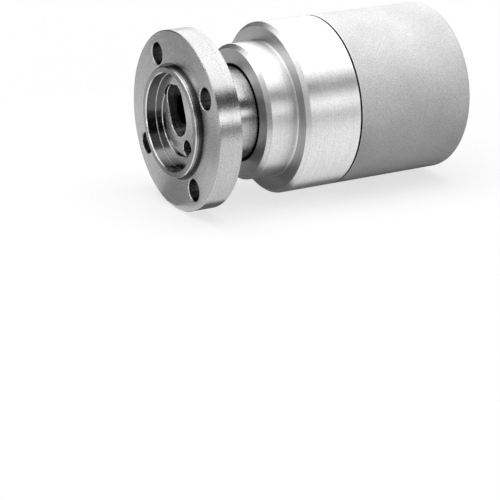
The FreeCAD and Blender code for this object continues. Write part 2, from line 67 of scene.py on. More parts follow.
# Camera, from the flange's and housing's outlines in the photograph. Its angles are in degrees
CAMERA_PLACE = Vector((-0.444838, -0.834089, 0.261955))
CAMERA_AZIMUTH = -30.2985
CAMERA_ELEVATION = 19.1936
CAMERA_LENS = 143.37
SENSOR_WIDTH = 36.0
CLIP_START = 0.01
CLIP_END = 50.0

# Floor and world. The lift is what the floor glows for the rays that show it, near the object and far
# away, and the fill is how strong the world is for all other rays
FLOOR_GAP = 0.2 * MM
FLOOR_SIZE = 12.0
FLOOR_COLOUR = 0.26
FLOOR_LIFT = 0.71
FLOOR_LIFT_FAR = 0.85
FLOOR_LIFT_START = 0.25
FLOOR_LIFT_END = 1.2
WORLD_FILL = 0.45

# Cards that gloss mirrors. Band cards stand on a circle round the axis, in front of the object or
# behind it. The runway is the way along the floor that the flange's face mirrors, in degrees from +X
FRONT = -1
BACK = 1
CARD_DISTANCE = 0.62
CARD_REACH = 1.4
BAND_FOOT = -3.5
CARD_ABOVE_FLOOR = 1.0 * MM
UPPER_CARD_ABOVE_FLOOR = 1.5 * MM
RUNWAY_DIRECTION = 120.0
TENT_RADIUS = 0.95
TENT_START = -0.25
TENT_STEPS = 24

# Where the lamps look: the middle of the object
LAMP_TARGET = Vector((0.07, 0.0, 0.0))

# Places in the model where the finishes paint shade and highlights: drilled holes, passages, gaps, edges and
# faced sides
FLANGE_THICKNESS = 12.5 * MM
FLANGE_RADIUS = 45.0 * MM
RELIEF_RADIUS = 29.0 * MM
SPIGOT_RADIUS = 27.5 * MM
SPIGOT_ROOT_START = -2.0 * MM
SPIGOT_ROOT_END = 0.4 * MM
RECESS_FLOOR = 3.2 * MM
RECESS_RADIUS = 24.6 * MM
POCKET_FLOOR = 6.9 * MM
JOURNAL_RADIUS = 19.8 * MM
PASSAGE_END = 118.0 * MM
RIM_WIDTH = 0.25 * MM
RIM_END = -3.15 * MM
NECK_GAP_START = 33.1 * MM
NECK_GAP_END = 50.0 * MM
NECK_GAP_RADIUS = 24.9 * MM
SEAM_START = 80.5 * MM
SEAM_END = 81.6 * MM
SEAM_EDGE_END = 81.85 * MM
MASK_MARGIN = 0.35 * MM
FACED_SLOPE = 0.98
WALL_SLOPE = 0.6
SMALLEST_RADIUS = 0.01 * MM

# How light those places are painted, as painted shade and painted highlights: shares of the metal's own
# level, then levels of their own
HOLE_SHADE_SHARE = 0.28
RECESS_WALL_SHADE_SHARE = 0.34
SPIGOT_ROOT_SHADE_SHARE = 0.3
SPIGOT_END_SHADE_SHARE = 0.65
POCKET_WALL_SHADE_SHARE = 0.9
POCKET_FLOOR_SHADE_SHARE = 0.04
PASSAGE_SHADE_SHARE = 0.07
RIM_HIGHLIGHT_LEVEL = 0.75
GAP_SHADE_LEVEL = 0.008
SEAM_HIGHLIGHT_LEVEL = 0.9

# How much less rough the bored recess and the oily passages are
BORED_POLISH = 0.12
PASSAGE_POLISH = 0.08

# Noise: the range that most of it lies in, and the narrower one that sets the light and dark grain
NOISE_LOW = 0.3
NOISE_HIGH = 0.7
TONE_LOW = 0.38
TONE_HIGH = 0.62

# Turned metal: marks of the tool, which are long round the axis, mottle and cloud. Feed marks are
# wider than the fine lines by the ratio. The gloss is turned so that it spreads across the marks
LINE_REACH = 4.0
LINE_DETAIL = 3.0
LINE_ROUGHNESS = 0.6
LINE_SHARE = 0.3
FEED_MARK_RATIO = 4.5
FEED_MARK_REACH = 1.5
FEED_MARK_DETAIL = 1.0
FEED_MARK_TONE = 0.05
TURNED_MOTTLE = {"scale": 1700.0, "detail": 1.5, "roughness": 0.6}
TURNED_CLOUD = {"scale": 60.0, "detail": 3.0, "roughness": 0.5}
TURNED_SHEEN_CHANGE = 0.03
GLOSS_TURN = 0.25

# Blasted metal
BLASTED_DIMPLES = {"scale": 2200.0, "detail": 2.0, "roughness": 0.6}
BLASTED_SPECKLE = {"scale": 2000.0, "detail": 1.5, "roughness": 0.6}
BLASTED_CLOUD = {"scale": 40.0, "detail": 3.0, "roughness": 0.5}
SPECKLE_SHARE = 0.7
BLASTED_DARKEST = 0.8
BLASTED_LIGHTEST = 1.18
BLASTED_SHEEN_CHANGE = 0.05
BLASTED_METALLIC = 0.1
BLASTED_SPECULAR = 0.25
DIMPLE_DEPTH = 0.13 * MM

# Wear of the small inner parts
WEAR_DETAIL = 3.0
WEAR_ROUGHNESS = 0.6
WEAR_DARKEST = 0.85
WEAR_LIGHTEST = 1.12
WEAR_POLISH = 0.05
WEAR_DULLING = 0.06

# Threads: sections per turn, turns of fading in and out, the thinnest share that fading leaves, what
# the root sinks into the wall, and the half widths of foot and top as shares of the pitch
THREAD_STEPS = 32
THREAD_FADE = 0.8
THREAD_THINNEST = 0.01
THREAD_ROOT = 0.03 * MM
RIDGE_FOOT = 0.44
RIDGE_TOP = 0.08
RIDGE_CORNERS = 4
THREAD_START = 0.9 * MM
PIPE_PITCHES = {"main_port": 1.814 * MM, "pilot_port": 1.337 * MM}
PIPE_RIDGES = {"main_port": 0.5 * MM, "pilot_port": 0.4 * MM}
ARM_PITCH = 1.25 * MM
ARM_RIDGE = 0.32 * MM
ARM_DEPTH = 14.5 * MM

# Socket screws of the housings
SCREW_RADIUS = 3.0 * MM
SCREW_CORE = 2.6 * MM
SCREW_PITCH = 1.0 * MM
SCREW_THREAD = 22.0 * MM
SCREW_HEAD_RADIUS = 5.0 * MM
SCREW_HEAD_HEIGHT = 6.0 * MM
SCREW_HEX = 5.0 * MM
SCREW_HEX_DEPTH = 3.0 * MM
SCREW_HEX_POINT = SCREW_HEX / 6
SCREW_HEX_RIM = 1.22 * SCREW_HEX / 2
SCREW_EDGE = 0.5 * MM
SCREW_BEVEL = SCREW_EDGE / 3
SCREW_COUNT = 4
SCREW_SIDES = 144
KNURL_DEPTH = 0.14 * MM
HEX_TURN = math.tau / 6

# Garter spring of the lip seal
GARTER_RADIUS = 0.75 * MM
GARTER_WIRE = 0.16 * MM
GARTER_PITCH = 0.42 * MM
GARTER_STEPS = 10
GARTER_SIDES = 6

# Places of the two colours and of the result among the sockets of a colour mix
MIX_FIRST = 6
MIX_SECOND = 7
MIX_RESULT = 2


def link(tree, source, target):
    tree.links.new(source, target)


def grey(level):
    return (level, level, level, 1.0)


BLACK = grey(0.0)
WHITE = grey(1.0)


class Shader:
    """Node tree of one material, with short calls for the nodes that the finishes share."""

    def __init__(self, name):
        self.material = bpy.data.materials.new(name)
        self.material.use_nodes = True
        self.tree = self.material.node_tree
        self.tree.nodes.clear()
        self.output = self.node("ShaderNodeOutputMaterial")

    def node(self, kind, **settings):
        made = self.tree.nodes.new(kind)
        for key, value in settings.items():
            setattr(made, key, value)
        return made

    def feed(self, target, value):
        """Links a socket to the target, or sets a plain value on it."""
        if isinstance(value, bpy.types.NodeSocket):
            link(self.tree, value, target)
        else:
            target.default_value = value

    def show(self, surface):
        link(self.tree, surface, self.output.inputs["Surface"])

    def math(self, operation, first, second=0.0):
        made = self.node("ShaderNodeMath", operation=operation)
        self.feed(made.inputs[0], first)
        self.feed(made.inputs[1], second)
        return made.outputs[0]

    def remap(self, value, low, high, new_low, new_high):
        made = self.node("ShaderNodeMapRange")
        self.feed(made.inputs["Value"], value)
        made.inputs["From Min"].default_value = low
        made.inputs["From Max"].default_value = high
        made.inputs["To Min"].default_value = new_low
        made.inputs["To Max"].default_value = new_high
        return made.outputs[0]

    def vary(self, noise, new_low, new_high):
        """Spreads the range that most of a noise lies in over a new one."""
        return self.remap(noise, NOISE_LOW, NOISE_HIGH, new_low, new_high)

    def blend(self, first, share, second):
        """Sum of two values: the first one's share, and the rest of the second one."""
        return self.math("ADD", self.math("MULTIPLY", first, share),
                         self.math("MULTIPLY", second, 1.0 - share))

    def object_place(self):
        return self.node("ShaderNodeTexCoord").outputs["Object"]

    def noise(self, vector, scale, detail, roughness):
        made = self.node("ShaderNodeTexNoise")
        self.feed(made.inputs["Vector"], vector)
        made.inputs["Scale"].default_value = scale
        made.inputs["Detail"].default_value = detail
        made.inputs["Roughness"].default_value = roughness
        return made.outputs["Fac"]

    def mix_colours(self, share, first, second):
        made = self.node("ShaderNodeMix", data_type="RGBA")
        self.feed(made.inputs["Factor"], share)
        self.feed(made.inputs[MIX_FIRST], first)
        self.feed(made.inputs[MIX_SECOND], second)
        return made.outputs[MIX_RESULT]

    def grain_colour(self, tone, level, darkest, lightest):
        """Grey that follows the tone, between two shares of its level."""
        share = self.remap(tone, TONE_LOW, TONE_HIGH, 0.0, 1.0)
        return self.mix_colours(share, grey(level * darkest), grey(level * lightest))

    def bump(self, height, distance, normal=None):
        made = self.node("ShaderNodeBump")
        made.inputs["Distance"].default_value = distance
        made.inputs["Strength"].default_value = 1.0
        self.feed(made.inputs["Height"], height)
        if normal is not None:
            self.feed(made.inputs["Normal"], normal)
        return made.outputs[0]

    def lathe_place(self):
        """Place along X, Y and Z and the distance from the axis."""
        split = self.node("ShaderNodeSeparateXYZ")
        self.feed(split.inputs[0], self.object_place())
        x, y, z = split.outputs
        squares = self.math("ADD", self.math("MULTIPLY", y, y), self.math("MULTIPLY", z, z))
        return x, y, z, self.math("MAXIMUM", self.math("SQRT", squares), SMALLEST_RADIUS)

    def slope(self):
        """How far the surface faces along the axis, from 0 to 1."""
        split = self.node("ShaderNodeSeparateXYZ")
        self.feed(split.inputs[0], self.node("ShaderNodeTexCoord").outputs["Normal"])
        return self.math("ABSOLUTE", split.outputs[0])

    def inside(self, value, low, high):
        """1 where the value lies between two numbers, else 0."""
        above = self.math("GREATER_THAN", value, low)
        below = self.math("LESS_THAN", value, high)
        return self.math("MULTIPLY", above, below)

    def all_of(self, *masks):
        """1 where all the masks are 1."""
        total = masks[0]
        for mask in masks[1:]:
            total = self.math("MULTIPLY", total, mask)
        return total

    def lathe_lines(self, pitch, reach, detail):
        """Height of the marks that a turning tool leaves, long round X and fine across."""
        x, y, z, radius = self.lathe_place()
        joined = self.node("ShaderNodeCombineXYZ")
        self.feed(joined.inputs[0], self.math("DIVIDE", self.math("ADD", x, radius), pitch))
        self.feed(joined.inputs[1], self.math("MULTIPLY", self.math("DIVIDE", y, radius), reach))
        self.feed(joined.inputs[2], self.math("MULTIPLY", self.math("DIVIDE", z, radius), reach))
        return self.noise(joined.outputs[0], 1.0, detail, LINE_ROUGHNESS)

    def principled(self, **sockets):
        made = self.node("ShaderNodeBsdfPrincipled")
        for name, value in sockets.items():
            self.feed(made.inputs[name.replace("_", " ")], value)
        self.show(made.outputs[0])


def hole_mask(shader):
    """1 on the walls of the flange's bolt holes, which are painted darker as painted shade."""
    x, _, _, radius = shader.lathe_place()
    return shader.all_of(
        shader.inside(x, MASK_MARGIN, FLANGE_THICKNESS - MASK_MARGIN),
        shader.inside(radius, RELIEF_RADIUS + MASK_MARGIN, FLANGE_RADIUS - 2 * MASK_MARGIN))


def passage_mask(shader, start):
    """1 on what was cut into the rotor's core from this depth on, which is painted dark as painted shade."""
    x, _, _, radius = shader.lathe_place()
    return shader.all_of(
        shader.inside(x, start + MASK_MARGIN, PASSAGE_END),
        shader.math("LESS_THAN", radius, JOURNAL_RADIUS - MASK_MARGIN))


def root_mask(shader):
    """1 in the relief and on the foot of the spigot's outside, where shade is painted."""
    x, _, _, radius = shader.lathe_place()
    return shader.all_of(
        shader.inside(x, SPIGOT_ROOT_START, SPIGOT_ROOT_END),
        shader.inside(radius, SPIGOT_RADIUS, RELIEF_RADIUS))


def gap_shade_mask(shader):
    """1 in the narrow gap between the neck and the collar, and in the seam between the housings: painted
    shade, a little wider than the gaps themselves.
    """
    x, _, _, radius = shader.lathe_place()
    neck = shader.all_of(
        shader.inside(x, NECK_GAP_START, NECK_GAP_END),
        shader.inside(radius, JOURNAL_RADIUS + MASK_MARGIN, NECK_GAP_RADIUS))
    return shader.math("MAXIMUM", neck, shader.inside(x, SEAM_START, SEAM_END))


def faced_mask(shader):
    """1 on the flat sides that were faced off square to the axis."""
    return shader.math("GREATER_THAN", shader.slope(), FACED_SLOPE)


def end_mask(shader):
    """1 on the flat end of the spigot, which is painted darker as painted shade."""
    return shader.math("LESS_THAN", shader.lathe_place()[0], RIM_END)


def rim_highlight_mask(shader):
    """1 on the two broken edges of the spigot's end, where a highlight is painted."""
    x, _, _, radius = shader.lathe_place()
    inner = shader.inside(radius, RECESS_RADIUS - 2 * RIM_WIDTH, RECESS_RADIUS + RIM_WIDTH)
    outer = shader.inside(radius, SPIGOT_RADIUS - RIM_WIDTH, RELIEF_RADIUS)
    return shader.all_of(shader.math("MAXIMUM", inner, outer), shader.math("LESS_THAN", x, RIM_END))


def bored_mask(shader):
    """1 inside the recess, on its walls and steps."""
    x, _, _, radius = shader.lathe_place()
    return shader.all_of(
        shader.math("LESS_THAN", x, RECESS_FLOOR + MASK_MARGIN),
        shader.math("LESS_THAN", radius, RECESS_RADIUS))


def recess_mask(shader):
    """1 on the bored walls of the stepped recess, which get painted shade."""
    x, _, _, radius = shader.lathe_place()
    return shader.all_of(
        shader.math("LESS_THAN", x, RECESS_FLOOR),
        shader.math("LESS_THAN", radius, RECESS_RADIUS),
        shader.math("LESS_THAN", shader.slope(), WALL_SLOPE))


def dress_rotor(shader, level, colour, rough):
    """Colour and roughness of the rotor: dark painted shade where it is drilled or bored and at the spigot,
    bright painted highlights at broken edges.
    """
    pocket = passage_mask(shader, RECESS_FLOOR)
    passage = passage_mask(shader, POCKET_FLOOR)
    places = (
        (hole_mask(shader), level * HOLE_SHADE_SHARE),
        (recess_mask(shader), level * RECESS_WALL_SHADE_SHARE),
        (root_mask(shader), level * SPIGOT_ROOT_SHADE_SHARE),
        (end_mask(shader), level * SPIGOT_END_SHADE_SHARE),
        (rim_highlight_mask(shader), RIM_HIGHLIGHT_LEVEL),
        (pocket, level * POCKET_WALL_SHADE_SHARE),
        (shader.all_of(pocket, faced_mask(shader)), level * POCKET_FLOOR_SHADE_SHARE),
        (passage, level * PASSAGE_SHADE_SHARE),
    )
    for mask, painted_level in places:
        colour = shader.mix_colours(mask, colour, grey(painted_level))
    for mask, polish in ((bored_mask(shader), BORED_POLISH), (passage, PASSAGE_POLISH)):
        rough = shader.math("SUBTRACT", rough, shader.math("MULTIPLY", mask, polish))
    return colour, rough


def turned_metal(name, level, roughness, pitch, cut, grain, contrast, spread, faced=1.0, rotor=False):
    """Turned and lightly brushed steel: tool lines round the axis, mottled sheen, stretched gloss."""
    shader = Shader(name)
    lines = shader.lathe_lines(pitch, LINE_REACH, LINE_DETAIL)
    feed_marks = shader.lathe_lines(pitch * FEED_MARK_RATIO, FEED_MARK_REACH, FEED_MARK_DETAIL)
    mottle = shader.noise(shader.object_place(), **TURNED_MOTTLE)
    cloud = shader.noise(shader.object_place(), **TURNED_CLOUD)
    tone = shader.math("ADD", shader.blend(lines, LINE_SHARE, mottle),
                       shader.vary(feed_marks, -FEED_MARK_TONE, FEED_MARK_TONE))
    colour = shader.grain_colour(tone, level, 1.0 - contrast, 1.0 + contrast)
    sheen = shader.vary(tone, roughness - TURNED_SHEEN_CHANGE, roughness + TURNED_SHEEN_CHANGE)
    rough = shader.math("ADD", sheen, shader.vary(cloud, -TURNED_SHEEN_CHANGE, TURNED_SHEEN_CHANGE))
    # Painted shade: the flat faced sides are painted darker than the turned ones.
    if faced < 1.0:
        shade = shader.math("MULTIPLY", faced_mask(shader), 1.0 - faced)
        colour = shader.mix_colours(shade, colour, BLACK)
    if rotor:
        colour, rough = dress_rotor(shader, level, colour, rough)
    colour = shader.mix_colours(gap_shade_mask(shader), colour, grey(GAP_SHADE_LEVEL))
    tangent = shader.node("ShaderNodeTangent", direction_type="RADIAL", axis="X")
    shader.principled(Base_Color=colour, Metallic=1.0, Roughness=rough,
                      Normal=shader.bump(mottle, grain, shader.bump(lines, cut)),
                      Anisotropic=spread, Anisotropic_Rotation=GLOSS_TURN, Tangent=tangent.outputs[0])
    return shader.material


def blasted_metal(name, level, roughness):
    """Bead-blasted aluminium: fine even dimples, no direction."""
    shader = Shader(name)
    place = shader.object_place()
    dimples = shader.noise(place, **BLASTED_DIMPLES)
    speckle = shader.noise(place, **BLASTED_SPECKLE)
    cloud = shader.noise(place, **BLASTED_CLOUD)
    tone = shader.blend(speckle, SPECKLE_SHARE, cloud)
    colour = shader.grain_colour(tone, level, BLASTED_DARKEST, BLASTED_LIGHTEST)
    colour = shader.mix_colours(gap_shade_mask(shader), colour, grey(GAP_SHADE_LEVEL))
    # Painted highlight: a bright band on the rear housing's edge beside the seam.
    seam_highlight = shader.inside(shader.lathe_place()[0], SEAM_END, SEAM_EDGE_END)
    colour = shader.mix_colours(seam_highlight, colour, grey(SEAM_HIGHLIGHT_LEVEL))
    rough = shader.vary(speckle, roughness - BLASTED_SHEEN_CHANGE, roughness + BLASTED_SHEEN_CHANGE)
    shader.principled(Base_Color=colour, Metallic=BLASTED_METALLIC, Roughness=rough,
                      Normal=shader.bump(dimples, DIMPLE_DEPTH), Specular_IOR_Level=BLASTED_SPECULAR)
    return shader.material


def plain_finish(name, colour, roughness, scale, cut, metallic=1.0):
    """Small inner parts: one colour, with fine wear in its tone and gloss."""
    shader = Shader(name)
    wear = shader.noise(shader.object_place(), scale, WEAR_DETAIL, WEAR_ROUGHNESS)
    dark = tuple(channel * WEAR_DARKEST for channel in colour) + (1.0,)
    light = tuple(channel * WEAR_LIGHTEST for channel in colour) + (1.0,)
    tint = shader.mix_colours(shader.vary(wear, 0.0, 1.0), dark, light)
    rough = shader.vary(wear, roughness - WEAR_POLISH, roughness + WEAR_DULLING)
    shader.principled(Base_Color=tint, Metallic=metallic, Roughness=rough, Normal=shader.bump(wear, cut))
    return shader.material


FINISHES = {
    "machined_steel": lambda: turned_metal(
        "machined_steel_look", level=0.52, roughness=0.27, pitch=0.22 * MM, cut=0.012 * MM,
        grain=0.05 * MM, contrast=0.16, spread=0.8, rotor=True),
    "turned_steel": lambda: turned_metal(
        "turned_steel_look", level=0.78, roughness=0.4, pitch=0.16 * MM, cut=0.01 * MM,
        grain=0.1 * MM, contrast=0.13, spread=0.7, faced=0.66),
    "bright_steel": lambda: turned_metal(
        "bright_steel_look", level=0.5, roughness=0.28, pitch=0.5 * MM, cut=0.05 * MM,
        grain=0.04 * MM, contrast=0.1, spread=0.6),
    "blasted_aluminium": lambda: blasted_metal(
        "blasted_aluminium_look", level=0.66, roughness=0.62),
    "bearing_steel": lambda: plain_finish(
        "bearing_steel_look", (0.62, 0.62, 0.63), roughness=0.18, scale=500.0, cut=0.002 * MM),
    "polished_balls": lambda: plain_finish(
        "polished_balls_look", (0.72, 0.72, 0.73), roughness=0.08, scale=300.0, cut=0.0005 * MM),
    "pressed_steel": lambda: plain_finish(
        "pressed_steel_look", (0.5, 0.49, 0.47), roughness=0.35, scale=900.0, cut=0.01 * MM),
    "spring_steel": lambda: plain_finish(
        "spring_steel_look", (0.13, 0.13, 0.135), roughness=0.38, scale=900.0, cut=0.008 * MM),
    "black_oxide_steel": lambda: plain_finish(
        "black_oxide_look", (0.055, 0.055, 0.06), roughness=0.36, scale=1200.0, cut=0.008 * MM),
    "black_rubber": lambda: plain_finish(
        "black_rubber_look", (0.022, 0.022, 0.023), roughness=0.55, scale=700.0, cut=0.02 * MM,
        metallic=0.0),
    "bronze_filled_ptfe": lambda: plain_finish(
        "bronze_ptfe_look", (0.2, 0.135, 0.075), roughness=0.45, scale=800.0, cut=0.01 * MM,
        metallic=0.0),
}


def dress_nodes():
    """Gives each CAD node the finish of its slot."""
    looks = {}
    for part in frame["record"]["subparts"]:
        slot = part["material_slot"]
        if slot not in looks:
            looks[slot] = FINISHES[slot]()
        node = nodes[part["node"]]
        for place in node.material_slots:
            place.material = looks[slot]
    return looks


def mesh_piece(name, points, faces, looks, slot, body="housing"):
    """One piece in the frame, with its slot's finish and the body that it rides on."""
    mesh = bpy.data.meshes.new(name)
    mesh.from_pydata(points, [], faces)
    mesh.materials.append(looks[slot])
    piece = bpy.data.objects.new(name, mesh)
    bpy.context.scene.collection.objects.link(piece)
    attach(piece, body)
    return piece


def round_axis(turn):
    """Direction square to X, at this turn from +Z towards +Y."""
    return Vector((0, math.sin(turn), math.cos(turn)))


def strip_faces(rings, sides, closed_ends=True):
    """Quads between rings of points that follow each other, and a face on each end."""
    faces = []
    for ring in range(rings - 1):
        for side in range(sides):
            near, far = ring * sides, (ring + 1) * sides
            after = (side + 1) % sides
            faces.append((near + side, near + after, far + after, far + side))
    if closed_ends:
        faces.append(tuple(reversed(range(sides))))
        faces.append(tuple(range((rings - 1) * sides, rings * sides)))
    return faces


def thread_ridge(start, along, wall, ridge, pitch, length, inner=True):
    """Points and faces of a helical ridge on the wall of a bore, or round a shank."""
    side = along.orthogonal().normalized()
    up = along.cross(side)
    steps = int(length / pitch * THREAD_STEPS)
    last_turn = steps / THREAD_STEPS
    sign = -1.0 if inner else 1.0
    root = wall - sign * THREAD_ROOT
    points = []
    for index in range(steps + 1):
        turn = index / THREAD_STEPS
        share = max(THREAD_THINNEST, min(1.0, turn / THREAD_FADE, (last_turn - turn) / THREAD_FADE))
        crest = wall + sign * ridge * share
        out = side * math.cos(math.tau * turn) + up * math.sin(math.tau * turn)
        profile = ((-RIDGE_FOOT, root), (-RIDGE_TOP, crest), (RIDGE_TOP, crest), (RIDGE_FOOT, root))
        for shift, radius in profile:
            points.append(start + along * (pitch * (turn + shift)) + out * radius)
    return points, strip_faces(steps + 1, RIDGE_CORNERS)


def make_port_thread(mount, looks):
    """Thread of one housing port."""
    name, dims = mount["name"], mount["dims"]
    axis = Vector(mount["axis"])
    start = Vector(mount["pos_m"]) + axis * (dims["length_mm"] * MM / 2 - THREAD_START)
    length = dims["length_mm"] * MM - 2 * THREAD_START
    points, faces = thread_ridge(
        start, -axis, dims["r_mm"] * MM, PIPE_RIDGES[name], PIPE_PITCHES[name], length)
    mesh_piece(name + "_thread", points, faces, looks, "blasted_aluminium")


def make_arm_threads(mount, looks):
    """Threads of the torque arm's holes in the rear face."""
    dims = mount["dims"]
    axis = Vector(mount["axis"])
    for index in range(dims["count"]):
        out = round_axis(math.tau * index / dims["count"]) * dims["pcd_mm"] * MM / 2
        start = Vector(mount["pos_m"]) + out - axis * THREAD_START
        points, faces = thread_ridge(
            start, -axis, dims["hole_r_mm"] * MM, ARM_RIDGE, ARM_PITCH, ARM_DEPTH - THREAD_START)
        mesh_piece(f"arm_thread_{index + 1}", points, faces, looks, "blasted_aluminium")


def make_threads(looks):
    """Threads of the housings, placed from the mounts."""
    for mount in frame["record"]["mounts"]:
        if mount["name"] in PIPE_PITCHES:
            make_port_thread(mount, looks)
        if mount["name"] == "torque_arm_holes":
            make_arm_threads(mount, looks)


def screw_radius(kind, index):
    """Radius of one point of a screw's ring: round, knurled or on the hexagon of the key socket."""
    if kind == "knurl":
        return SCREW_HEAD_RADIUS - (KNURL_DEPTH if index % 2 else 0.0)
    if kind == "hex":
        turn = math.tau * index / SCREW_SIDES
        return SCREW_HEX / 2 / math.cos((turn + HEX_TURN / 2) % HEX_TURN - HEX_TURN / 2)
    return kind


def socket_screw(tip, top):
    """Points and faces of one socket screw along +X, its axis on the X axis."""
    under = top - SCREW_HEAD_HEIGHT
    rings = (
        (tip, SCREW_CORE - SCREW_EDGE),
        (tip + SCREW_EDGE, SCREW_CORE),
        (tip + SCREW_THREAD, SCREW_CORE),
        (tip + SCREW_THREAD + SCREW_EDGE, SCREW_RADIUS),
        (under, SCREW_RADIUS),
        (under, SCREW_HEAD_RADIUS - SCREW_EDGE),
        (under + SCREW_EDGE, "knurl"),
        (top - SCREW_EDGE, "knurl"),
        (top - SCREW_BEVEL, SCREW_HEAD_RADIUS - SCREW_BEVEL),
        (top, SCREW_HEAD_RADIUS - SCREW_EDGE),
        (top, SCREW_HEX_RIM),
        (top - SCREW_BEVEL, "hex"),
        (top - SCREW_HEX_DEPTH, "hex"),
        (top - SCREW_HEX_DEPTH - SCREW_HEX_POINT, SCREW_EDGE),
    )
    points = []
    for x, kind in rings:
        for index in range(SCREW_SIDES):
            turn = math.tau * index / SCREW_SIDES
            radius = screw_radius(kind, index)
            points.append(Vector((x, math.sin(turn) * radius, math.cos(turn) * radius)))
    faces = strip_faces(len(rings), SCREW_SIDES)
    start = Vector((tip + SCREW_EDGE + SCREW_PITCH / 2, 0, 0))
    more, more_faces = thread_ridge(start, Vector((1, 0, 0)), SCREW_CORE, SCREW_RADIUS - SCREW_CORE,
                                    SCREW_PITCH, SCREW_THREAD - SCREW_PITCH, inner=False)
    faces += [tuple(corner + len(points) for corner in face) for face in more_faces]
    return points + more, faces


def make_screws(looks):
    """The four socket screws of the housings, in the place of the plain ones. They stand at 45
    degrees to Y and Z, so the circle they stand on follows from the half width of their box."""
    low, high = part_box("tie_screws")
    circle = (high.y - SCREW_HEAD_RADIUS) * math.sqrt(2)
    screw, screw_faces = socket_screw(low.x, high.x)
    points, faces = [], []
    for index in range(SCREW_COUNT):
        out = round_axis(math.tau * (index + 0.5) / SCREW_COUNT) * circle
        faces += [tuple(corner + len(points) for corner in face) for face in screw_faces]
        points += [point + out for point in screw]
    screws = mesh_piece("socket_screws", points, faces, looks, "black_oxide_steel")
    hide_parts("tie_screws")


def make_garter_spring(looks):
    """Closed coil spring in the lip seal's groove."""
    low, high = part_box("front_seal_garter_spring")
    middle = (low.x + high.x) / 2
    ring_radius = high.z - GARTER_RADIUS
    coil = GARTER_RADIUS - GARTER_WIRE
    coils = round(math.tau * ring_radius / GARTER_PITCH)
    steps = coils * GARTER_STEPS
    line = []
    for index in range(steps):
        wind = math.tau * index / GARTER_STEPS
        out = round_axis(math.tau * index / steps) * (ring_radius + coil * math.cos(wind))
        line.append(out + Vector((middle + coil * math.sin(wind), 0, 0)))
    points = []
    for index, place in enumerate(line):
        ahead = (line[(index + 1) % steps] - line[index - 1]).normalized()
        centre = Vector((middle, *(place.yz.normalized() * ring_radius)))
        side = (place - centre).normalized()
        side = (side - ahead * side.dot(ahead)).normalized()
        up = ahead.cross(side)
        for step in range(GARTER_SIDES):
            angle = math.tau * step / GARTER_SIDES
            points.append(place + (side * math.cos(angle) + up * math.sin(angle)) * GARTER_WIRE)
    faces = strip_faces(steps, GARTER_SIDES, closed_ends=False)
    last = (steps - 1) * GARTER_SIDES
    for side in range(GARTER_SIDES):
        after = (side + 1) % GARTER_SIDES
        faces.append((last + side, last + after, after, side))
    spring = mesh_piece("garter_spring_coils", points, faces, looks, "spring_steel")
    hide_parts("front_seal_garter_spring")


def make_camera():
    """Camera at the photograph's place, looking the photograph's way."""
    data = bpy.data.cameras.new("camera")
    data.lens = CAMERA_LENS
    data.sensor_width = SENSOR_WIDTH
    data.clip_start = CLIP_START
    data.clip_end = CLIP_END
    camera = bpy.data.objects.new("camera", data)
    bpy.context.scene.collection.objects.link(camera)
    turn, rise = math.radians(CAMERA_AZIMUTH), math.radians(CAMERA_ELEVATION)
    back = Vector((math.sin(turn) * math.cos(rise), -math.cos(turn) * math.cos(rise), math.sin(rise)))
    right = Vector((math.cos(turn), math.sin(turn), 0.0))
    pose = Matrix((right, back.cross(right), back)).transposed().to_4x4()
    camera.matrix_world = Matrix.Translation(CAMERA_PLACE) @ pose
    bpy.context.scene.camera = camera


def seen_rays(tree):
    """1 for rays that show the background: straight from the camera, in gloss and through glass."""
    path = tree.nodes.new("ShaderNodeLightPath")
    total = path.outputs["Is Camera Ray"]
    for name in ("Is Glossy Ray", "Is Transmission Ray"):
        most = tree.nodes.new("ShaderNodeMath")
        most.operation = "MAXIMUM"
        link(tree, total, most.inputs[0])
        link(tree, path.outputs[name], most.inputs[1])
        total = most.outputs[0]
    return total


def make_world():
    """White world for the rays that show it, and a softer fill for the rest."""
    world = bpy.data.worlds.new("studio")
    bpy.context.scene.world = world
    world.use_nodes = True
    tree = world.node_tree
    background = tree.nodes["Background"]
    background.inputs["Color"].default_value = WHITE
    strength = tree.nodes.new("ShaderNodeMapRange")
    link(tree, seen_rays(tree), strength.inputs["Value"])
    strength.inputs["To Min"].default_value = WORLD_FILL
    strength.inputs["To Max"].default_value = 1.0
    link(tree, strength.outputs[0], background.inputs["Strength"])


def make_floor():
    """Pale floor: plain diffuse, lifted to white for the rays that show it, shadow kept."""
    lowest = cad_box[0].z - FLOOR_GAP
    bpy.ops.mesh.primitive_plane_add(size=FLOOR_SIZE, location=(0, 0, lowest))
    floor = bpy.context.object
    floor.name = "studio_floor"
    shader = Shader("floor_look")
    diffuse = shader.node("ShaderNodeBsdfDiffuse")
    diffuse.inputs["Color"].default_value = grey(FLOOR_COLOUR)
    away = shader.node("ShaderNodeVectorMath", operation="LENGTH")
    shader.feed(away.inputs[0], shader.object_place())
    share = shader.remap(away.outputs["Value"], FLOOR_LIFT_START, FLOOR_LIFT_END, FLOOR_LIFT, FLOOR_LIFT_FAR)
    lift = shader.node("ShaderNodeEmission")
    shader.feed(lift.inputs["Strength"], shader.math("MULTIPLY", seen_rays(shader.tree), share))
    both = shader.node("ShaderNodeAddShader")
    shader.feed(both.inputs[0], diffuse.outputs[0])
    shader.feed(both.inputs[1], lift.outputs[0])
    shader.show(both.outputs[0])
    floor.data.materials.append(shader.material)


